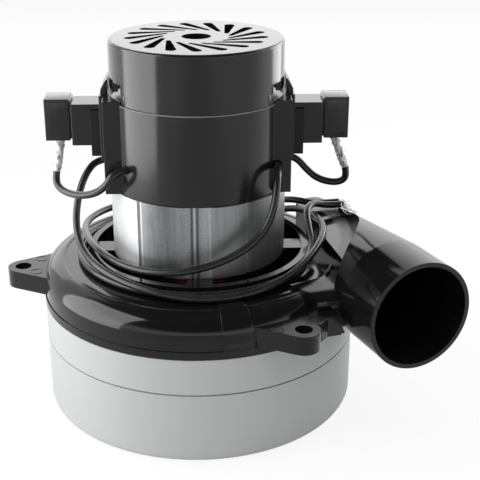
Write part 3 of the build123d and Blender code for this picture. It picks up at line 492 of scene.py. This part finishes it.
# The solids that are shown as they are, by material
CAD_FINISH = (
    (SHELL, "lower_shell", "upper_shell"),
    (GLOSS, "fan_end_bracket", "discharge_horn"),
    (HOUSING_BLACK, "brush_housing"),
    (CAP_BLACK, "top_cap"),
    (FAN_BLACK, "cooling_fan"),
    (STACK, "field_stack", "armature_core"),
    (COPPER, "front_field_coil", "rear_field_coil", "armature_winding"),
    (BARS, "commutator", "left_brush_shunt", "right_brush_shunt"),
    (TUBING, "insulating_sleeve"),
    (STEEL, "shaft", "fan_nut", "fan_washer", "fan_spacer", "bearing_spacer"),
    (STEEL, "through_bolts", "retainer_screws", "bearing_retainer"),
    (STEEL, "left_brush_spring", "right_brush_spring"),
    (RACE, "lower_bearing_outer", "lower_bearing_inner", "lower_bearing_balls"),
    (RACE, "upper_bearing_outer", "upper_bearing_inner", "upper_bearing_balls"),
    (ALLOY, "first_stage_fan", "second_stage_fan", "stationary_fan"),
    (SATIN, "left_brush_holder", "right_brush_holder"),
    (CLIP_BLACK, "left_holder_clip", "right_holder_clip"),
    (BRASS, "left_brush_tube", "right_brush_tube", "left_terminal_tab", "right_terminal_tab"),
    (CARBON, "left_carbon_brush", "right_carbon_brush"),
)
for material, *nodes in CAD_FINISH:
    for node in nodes:
        coat(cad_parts[node], material)


# Pieces: sizes and places in millimetres
def install(piece, slot, material, *stands_for):
    """Puts a finished piece on the motor's frame, with its finish and what it stands for."""
    coat(piece, material)
    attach(piece, "motor_frame")
    if stands_for:
        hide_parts(*stands_for)


def added(name):
    """Names the primitive just added and fixes its place in its mesh."""
    piece = bpy.context.object
    piece.name = name
    bpy.ops.object.transform_apply(location=True, rotation=True, scale=True)
    return piece


def slab(name, low, high):
    """Box between two corners."""
    bpy.ops.object.select_all(action="DESELECT")
    middle, size = (low + high) / 2, high - low
    bpy.ops.mesh.primitive_cube_add(size=1, location=metres(middle), scale=metres(size))
    return added(name)


def pick(piece, wanted, kind="faces"):
    """Selects faces or edges by a test on their middle and direction; stays in edit mode."""
    bpy.ops.object.mode_set(mode="EDIT")
    bpy.ops.mesh.select_all(action="DESELECT")
    bpy.ops.mesh.select_mode(type="FACE" if kind == "faces" else "EDGE")
    mesh = bmesh.from_edit_mesh(piece.data)
    for item in getattr(mesh, kind):
        if kind == "faces":
            item.select_set(wanted(item.calc_center_median() / MM, item.normal))
        else:
            ends = [corner.co / MM for corner in item.verts]
            item.select_set(wanted((ends[0] + ends[1]) / 2, (ends[1] - ends[0]).normalized()))
    mesh.select_flush_mode()
    bmesh.update_edit_mesh(piece.data)


def rounded(piece, width, segments=3, angle=35):
    """Rounds the sharp edges and shades the piece smooth."""
    bpy.ops.object.mode_set(mode="OBJECT")
    bevel = piece.modifiers.new("edge_rounding", "BEVEL")
    bevel.width = width * MM
    bevel.segments = segments
    bevel.limit_method = "ANGLE"
    bevel.angle_limit = radians(angle)
    bpy.ops.object.select_all(action="DESELECT")
    piece.select_set(True)
    bpy.context.view_layer.objects.active = piece
    bpy.ops.object.modifier_apply(modifier=bevel.name)
    bpy.ops.object.shade_smooth_by_angle(angle=radians(angle))
    return piece


def copied(piece, name, change):
    """Copy of a piece with its own mesh, moved or mirrored by a matrix."""
    twin = piece.copy()
    twin.data = piece.data.copy()
    twin.name = name
    bpy.context.scene.collection.objects.link(twin)
    twin.data.transform(change)
    if change.determinant() < 0:
        twin.data.flip_normals()
    return twin


# Terminal covers: wall, depth of the hollow foot, stepped joint with its bite into the
# holder, margin and growth of the raised side panels, and rounding
CAP_WALL = 1.1
CAP_HOLLOW = 5
CAP_STEP = 0.7
CAP_BITE = 0.1
CAP_PANEL_MARGIN = 1.3
CAP_PANEL_GROWTH = 1.006
CAP_ROUNDING = 0.35
MIRROR = Matrix.Diagonal((-1, 1, 1, 1))

# A face counts as turned a way above this share, and as at a place within this distance
FACING = 0.9
CLOSE = 0.5


def push(x=0.0, z=0.0):
    """Extrudes the selected faces by a step."""
    bpy.ops.mesh.extrude_region_move(TRANSFORM_OT_translate={"value": metres((x, 0, z))})


def terminal_cap(name):
    """Moulded cover over the brush terminal: thin walls, an open foot and a stepped joint."""
    low, high = (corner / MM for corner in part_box("right_terminal_cap"))
    low.x += CAP_STEP - CAP_BITE
    cap = slab(name, low, high)
    pick(cap, lambda at, facing: facing.z < -FACING)
    bpy.ops.mesh.inset(thickness=CAP_WALL * MM)
    push(z=CAP_HOLLOW)
    pick(cap, lambda at, facing: facing.x < -FACING and at.x < low.x + CLOSE)
    bpy.ops.mesh.inset(thickness=CAP_STEP * MM)
    push(x=-CAP_STEP)
    pick(cap, lambda at, facing: abs(facing.y) > FACING and abs(at.y) > high.y - CLOSE)
    bpy.ops.mesh.inset(thickness=CAP_PANEL_MARGIN * MM)
    push()
    bpy.ops.transform.resize(value=(1, CAP_PANEL_GROWTH, 1))
    return rounded(cap, CAP_ROUNDING)


right_cap = terminal_cap("right_terminal_cover")
left_cap = copied(right_cap, "left_terminal_cover", MIRROR)
install(right_cap, "terminal_cap_plastic", SATIN, "right_terminal_cap")
install(left_cap, "terminal_cap_plastic", SATIN, "left_terminal_cap")


# Clear sleeves: each runs from its lead's end up into the terminal cover
SLEEVE_TOP = {"left": (-60.8, 0, 126.4), "right": (60.8, 0, 126.4)}
SLEEVE_FOOT = {"left": LEFT_BRUSH[0], "right": RIGHT_BRUSH[0]}
SLEEVE_R = 2.2
SLEEVE_WALL = 0.45
SLEEVE_SIDES = 28
SLEEVE_CUTS = 34

# Shares of the sleeve's length that are pinched on the lead and squeezed at the foot, and
# the depth of each unevenness as a share of its radius
PINCHED, SQUEEZED = 0.07, 0.2
PINCH_DEPTH = 0.16
FLATNESS = 0.30
CREASE_DEPTH, WRINKLE_DEPTH, RIPPLE_DEPTH = 0.10, 0.05, 0.05


def crumple(turn, share):
    """Factors for a sleeve's two half widths, at a turn about it and a share of its length."""
    crease = CREASE_DEPTH * sin(3 * turn + 9 * share) * sin(14 * share + turn)
    crease += WRINKLE_DEPTH * sin(5 * turn - 31 * share)
    if share > SQUEEZED:
        flat = FLATNESS * sin(pi * (1 - share) / (1 - SQUEEZED))
    else:
        flat = FLATNESS * 0.9 * share / SQUEEZED
    pinch = 1 - PINCH_DEPTH * (share < PINCHED) - RIPPLE_DEPTH * cos(40 * share)
    return (1 + flat + crease) * pinch, (1 - 0.6 * flat + crease) * pinch


def crimped_sleeve(name, foot, top):
    """Soft clear tubing, wider where it is squeezed flat and creased at its lower end."""
    bpy.ops.object.select_all(action="DESELECT")
    run = Vector(top) - Vector(foot)
    length = run.length * MM
    bpy.ops.mesh.primitive_cylinder_add(
        vertices=SLEEVE_SIDES, radius=SLEEVE_R * MM, depth=length, end_fill_type="NOTHING"
    )
    sleeve = added(name)
    pick(sleeve, lambda at, along: abs(along.z) > FACING, "edges")
    bpy.ops.mesh.subdivide(number_cuts=SLEEVE_CUTS)
    bpy.ops.object.mode_set(mode="OBJECT")
    for corner in sleeve.data.vertices:
        turn = atan2(corner.co.y, corner.co.x)
        wider, narrower = crumple(turn, corner.co.z / length + 0.5)
        corner.co.x *= wider
        corner.co.y *= narrower
    lean = run.normalized().to_track_quat("Z", "Y").to_matrix().to_4x4()
    middle = (Vector(foot) + Vector(top)) / 2 * MM
    sleeve.data.transform(Matrix.Translation(middle) @ lean)
    wall = sleeve.modifiers.new("wall", "SOLIDIFY")
    wall.thickness = SLEEVE_WALL * MM
    wall.offset = -1
    smooth = sleeve.modifiers.new("soft_skin", "SUBSURF")
    smooth.levels = smooth.render_levels = 1
    bpy.context.view_layer.objects.active = sleeve
    for modifier in (wall.name, smooth.name):
        bpy.ops.object.modifier_apply(modifier=modifier)
    bpy.ops.object.shade_smooth()
    return sleeve


for side in ("left", "right"):
    sleeve = crimped_sleeve(f"{side}_clear_sleeve", SLEEVE_FOOT[side], SLEEVE_TOP[side])
    install(sleeve, "sleeve_plastic", CLEAR, f"{side}_lead_sleeve")


# Frayed strands: end of the lead, the way its strands point, and how many they are
FRAYED = (
    (FRONT_SUPPLY[-1], (0.35, -1, 0.0), 11),
    (REAR_SUPPLY[-1], (0.1, -1, 0.0), 12),
)
STRAND_R = 0.13
STRAND_ROUNDNESS = 2
STRAND_STEPS = 8
STRAND_LOWEST = 79.3
STRAND_SEED = 11
STRAND_REACH = (5, 15)
STRAND_SWING = (-3.5, 3.5)
TIP_DRIFT = (-1, 1)


def strand_routes(ends):
    """Route of each bare strand: it leaves the lead, fans out and droops onto what lies below."""
    chance = random.Random(STRAND_SEED)
    for end, way, count in ends:
        start, ahead = Vector(end), Vector(way).normalized()
        for number in range(count):
            turn = 2 * pi * number / count
            side = Vector((cos(turn), 0.3 * sin(turn), sin(turn)))
            reach = chance.uniform(*STRAND_REACH)
            swing = chance.uniform(*STRAND_SWING)
            near = start + ahead * reach * 0.5 + side * chance.uniform(0.4, 2.2)
            far = start + ahead * reach * 0.8 + side * chance.uniform(0.5, 2.6)
            tip = start + ahead * reach + side * chance.uniform(0.2, 2.0)
            points = (
                start - ahead * 1.5 + side * 0.9,
                start + ahead * 1.5 + side * 1.1,
                near + Vector((swing * 0.3, 0, 0.5)),
                far + Vector((swing * 0.8, 0, 0.2)),
                tip + Vector((swing, chance.uniform(*TIP_DRIFT), 0.3)),
            )
            yield [(point.x, point.y, max(point.z, STRAND_LOWEST)) for point in points]


strands = round_wires(
    "frayed_strands", strand_routes(FRAYED), STRAND_R, STRAND_ROUNDNESS, STRAND_STEPS, capped=False
)
install(strands, "tinned_wire", TINNED, "bare_strands")
install(front_lead, "lead_insulation", LEAD, "front_supply_lead")
install(rear_lead, "lead_insulation", LEAD, "rear_supply_lead")
install(left_lead, "lead_insulation", LEAD, "left_brush_lead")
install(right_lead, "lead_insulation", LEAD, "right_brush_lead")
metres(FRONT_SUPPLY[0])
metres(REAR_SUPPLY[0])

# Trim that runs round the motor's axis: profiles of radius and height, sweeps in degrees
BAND_PROFILE = (
    (72.75, 52.2), (72.75, 55.6), (72.45, 56.2), (72.45, 59.4), (72.1, 62.0),
    (70.9, 64.9), (68.8, 67.2), (66.0, 68.8), (62.4, 69.35), (58.5, 69.35),
)
BAND_START, BAND_SWEEP = -83, 10.5
BAND_COLUMNS = 12
BAND_WALL = 0.9
BAND_ROUNDING = 0.12
SHOULDER_R = 10.04
SHOULDER_MIDDLE = (62.24, 59.34)
SHOULDER_FOOT, SHOULDER_TOP = (72.0, 59.0), (62.6, 69.1)
SHOULDER_STEPS, SHOULDER_STEP = 22, 4
SKIN = 0.1
SMOOTH_ANGLE = 35


def arc(middle, radius, steps, step):
    """Points on an arc that starts level with its middle and rises by equal steps, in degrees."""
    turns = [radians(step * number) for number in range(steps)]
    return [(middle[0] + radius * cos(turn), middle[1] + radius * sin(turn)) for turn in turns]


def turned_band(name, profile, start, sweep, columns, thickness):
    """Thin wall that follows a profile through a sweep about the motor's axis."""
    bpy.ops.object.select_all(action="DESELECT")
    runs = len(profile) - 1
    bpy.ops.mesh.primitive_grid_add(x_subdivisions=columns, y_subdivisions=runs, size=1)
    band = added(name)
    for corner in band.data.vertices:
        reach, level = profile[round((corner.co.y + 0.5) * runs)]
        azimuth = radians(start + sweep * (corner.co.x + 0.5))
        corner.co = metres((reach * cos(azimuth), reach * sin(azimuth), level))
    bpy.ops.object.mode_set(mode="EDIT")
    bpy.ops.mesh.select_all(action="SELECT")
    bpy.ops.mesh.remove_doubles(threshold=0.01 * MM)
    bpy.ops.mesh.normals_make_consistent(inside=False)
    bpy.ops.object.mode_set(mode="OBJECT")
    wall = band.modifiers.new("wall", "SOLIDIFY")
    wall.thickness = thickness * MM
    wall.offset = 0
    bpy.ops.object.modifier_apply(modifier=wall.name)
    return band


def skin(name, profile, columns):
    """Smooth thin wall all the way round the motor's axis."""
    piece = turned_band(name, profile, 0, 360, columns, SKIN)
    bpy.ops.object.shade_smooth_by_angle(angle=radians(SMOOTH_ANGLE))
    return piece


# The band on the bracket's torus, where two halves of its mould meet
joint_band = turned_band(
    "bracket_joint_band", BAND_PROFILE, BAND_START, BAND_SWEEP, BAND_COLUMNS, BAND_WALL
)
install(rounded(joint_band, BAND_ROUNDING, segments=2, angle=50), "black_moulding", GLOSS)

# The bracket's polished shoulder, from its wall up to the plateau
SHOULDER = [
    SHOULDER_FOOT,
    *arc(SHOULDER_MIDDLE, SHOULDER_R, SHOULDER_STEPS, SHOULDER_STEP),
    SHOULDER_TOP,
]
install(skin("bracket_shoulder_skin", SHOULDER, columns=240), "black_moulding", GLOSS)

# The housing's thin rim, where the cap sits on it; its light grey is a painted highlight of the
# ledge catching the light
WALL_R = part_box("brush_housing")[1].y / MM
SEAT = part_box("top_cap")[0].z / MM
LEDGE_PROFILE = (
    (WALL_R - 0.05, SEAT - 0.5), (WALL_R + 0.15, SEAT - 0.35),
    (WALL_R + 0.15, SEAT - 0.1), (WALL_R - 0.1, SEAT + 0.05),
)
install(skin("housing_ledge", LEDGE_PROFILE, columns=180), "black_moulding", PAINTED_SHEEN_RIM)

# Ejector marks, a pair on each ear: distance and azimuth about the motor's axis
EJECTOR_MARKS = (
    (76.0, 186.2), (75.4, 174.8), (78.6, -51.7), (77.6, -66.0), (76.0, 66.2), (75.4, 54.8),
)
MARK_R, MARK_WIDTH, MARK_FLATNESS = 2.7, 0.22, 0.7
MARK_LEVEL = 63.0


def ejector_mark():
    """Shallow ring that an ejector pin leaves on a moulding, on the motor's axis."""
    bpy.ops.object.select_all(action="DESELECT")
    bpy.ops.mesh.primitive_torus_add(
        major_radius=MARK_R * MM, minor_radius=MARK_WIDTH * MM,
        major_segments=40, minor_segments=8,
    )
    ring = added("ejector_mark")
    lift = Matrix.Translation((0, 0, MARK_LEVEL * MM))
    ring.data.transform(lift @ Matrix.Diagonal((1, 1, MARK_FLATNESS, 1)))
    bpy.ops.object.shade_smooth()
    return ring


mark = ejector_mark()
for number, (reach, azimuth) in enumerate(EJECTOR_MARKS, 1):
    turn = radians(azimuth)
    shift = Matrix.Translation(metres((reach * cos(turn), reach * sin(turn), 0)))
    install(copied(mark, f"ejector_mark_{number}", shift), "black_moulding", GLOSS)
bpy.data.objects.remove(mark)

# Studio: pale floor, white surroundings and lit panels, in metres and watts
FLOOR_SIZE = 6
FLOOR_SEEN = 0.88
WHITE = (1, 1, 1, 1)

# Panels: name, place, the point they face, size, power, and whether gloss mirrors them
PANELS = (
    ("left_panel", (-0.31, -0.07, 0.20), (0, 0, 0.12), (0.34, 0.42), 1.4, True),
    ("right_panel", (0.42, 0.30, 0.20), (0, 0, 0.12), (0.25, 0.40), 0.85, True),
    ("back_panel", (0.05, 0.95, 0.42), (0, 0, 0.12), (1.7, 0.6), 2.9, True),
    ("overhead_panel", (-0.1, -0.15, 0.95), (0, 0, 0.05), (0.7, 0.5), 2.7, False),
)


def lay_floor():
    """Pale floor that looks white, and is darker in mirrored views near the camera."""
    bpy.ops.object.select_all(action="DESELECT")
    bpy.ops.mesh.primitive_plane_add(size=FLOOR_SIZE)
    floor = bpy.context.object
    floor.name = "studio_floor"
    made = Finish("pale_floor", Roughness=0.9)
    made.feed(Base_Color=made.tint(made.noise(2, 2), (0.80, 0.80, 0.80), (0.84, 0.84, 0.84)))
    camera, glossy, through = made.rays("Camera", "Glossy", "Transmission")
    depth = made.axis("Y", made.place).clamped(-0.25, 0.15)
    width = made.axis("X", made.place)
    sides = width.join("ABSOLUTE", width).clamped(0.05, 0.35)
    strength = (depth * 0.55 + sides * 0.25 + 0.32) * (1 - camera) + camera
    glow = made.node("ShaderNodeEmission", {"Color": WHITE, "Strength": strength})
    matt = Signal(made, made.shader.outputs[0])
    seen = (camera + glossy + through) * FLOOR_SEEN
    mixed = made.node("ShaderNodeMixShader", {0: seen, 1: matt, 2: glow})
    made.tree.links.new(mixed.socket, made.tree.nodes["Material Output"].inputs["Surface"])
    coat(floor, made.material)


def surroundings():
    """White to the camera, and for gloss bright low down and dark overhead."""
    world = bpy.data.worlds.new("studio_air")
    bpy.context.scene.world = world
    world.use_nodes = True
    world.node_tree.nodes.clear()
    air = Board(world.node_tree)
    way = air.node("ShaderNodeTexCoord", output="Generated")
    rise = air.axis("Z", way) - air.axis("Y", way) * 0.375
    low = 1 - rise.clamped(0.42, 0.68)
    glossy, camera = air.rays("Glossy", "Camera")
    strength = glossy * (low * 0.95 + 0.04) + (1 - glossy) * 0.62
    strength = strength * (1 - camera) + camera
    white = air.node("ShaderNodeBackground", {"Color": WHITE, "Strength": strength})
    out = air.tree.nodes.new("ShaderNodeOutputWorld")
    air.tree.links.new(white.socket, out.inputs["Surface"])


def panel(name, spot, aim, size, power, mirrored):
    """Lit rectangle that faces a point, unseen by the camera."""
    bpy.ops.object.light_add(type="AREA", location=spot)
    lamp = bpy.context.object
    lamp.name = name
    lamp.data.shape = "RECTANGLE"
    lamp.data.size, lamp.data.size_y = size
    lamp.data.energy = power
    lamp.rotation_euler = (Vector(spot) - Vector(aim)).to_track_quat("Z", "Y").to_euler()
    lamp.visible_camera = False
    lamp.visible_glossy = mirrored


lay_floor()
surroundings()
for row in PANELS:
    panel(*row)
bpy.context.scene.view_settings.view_transform = "Standard"
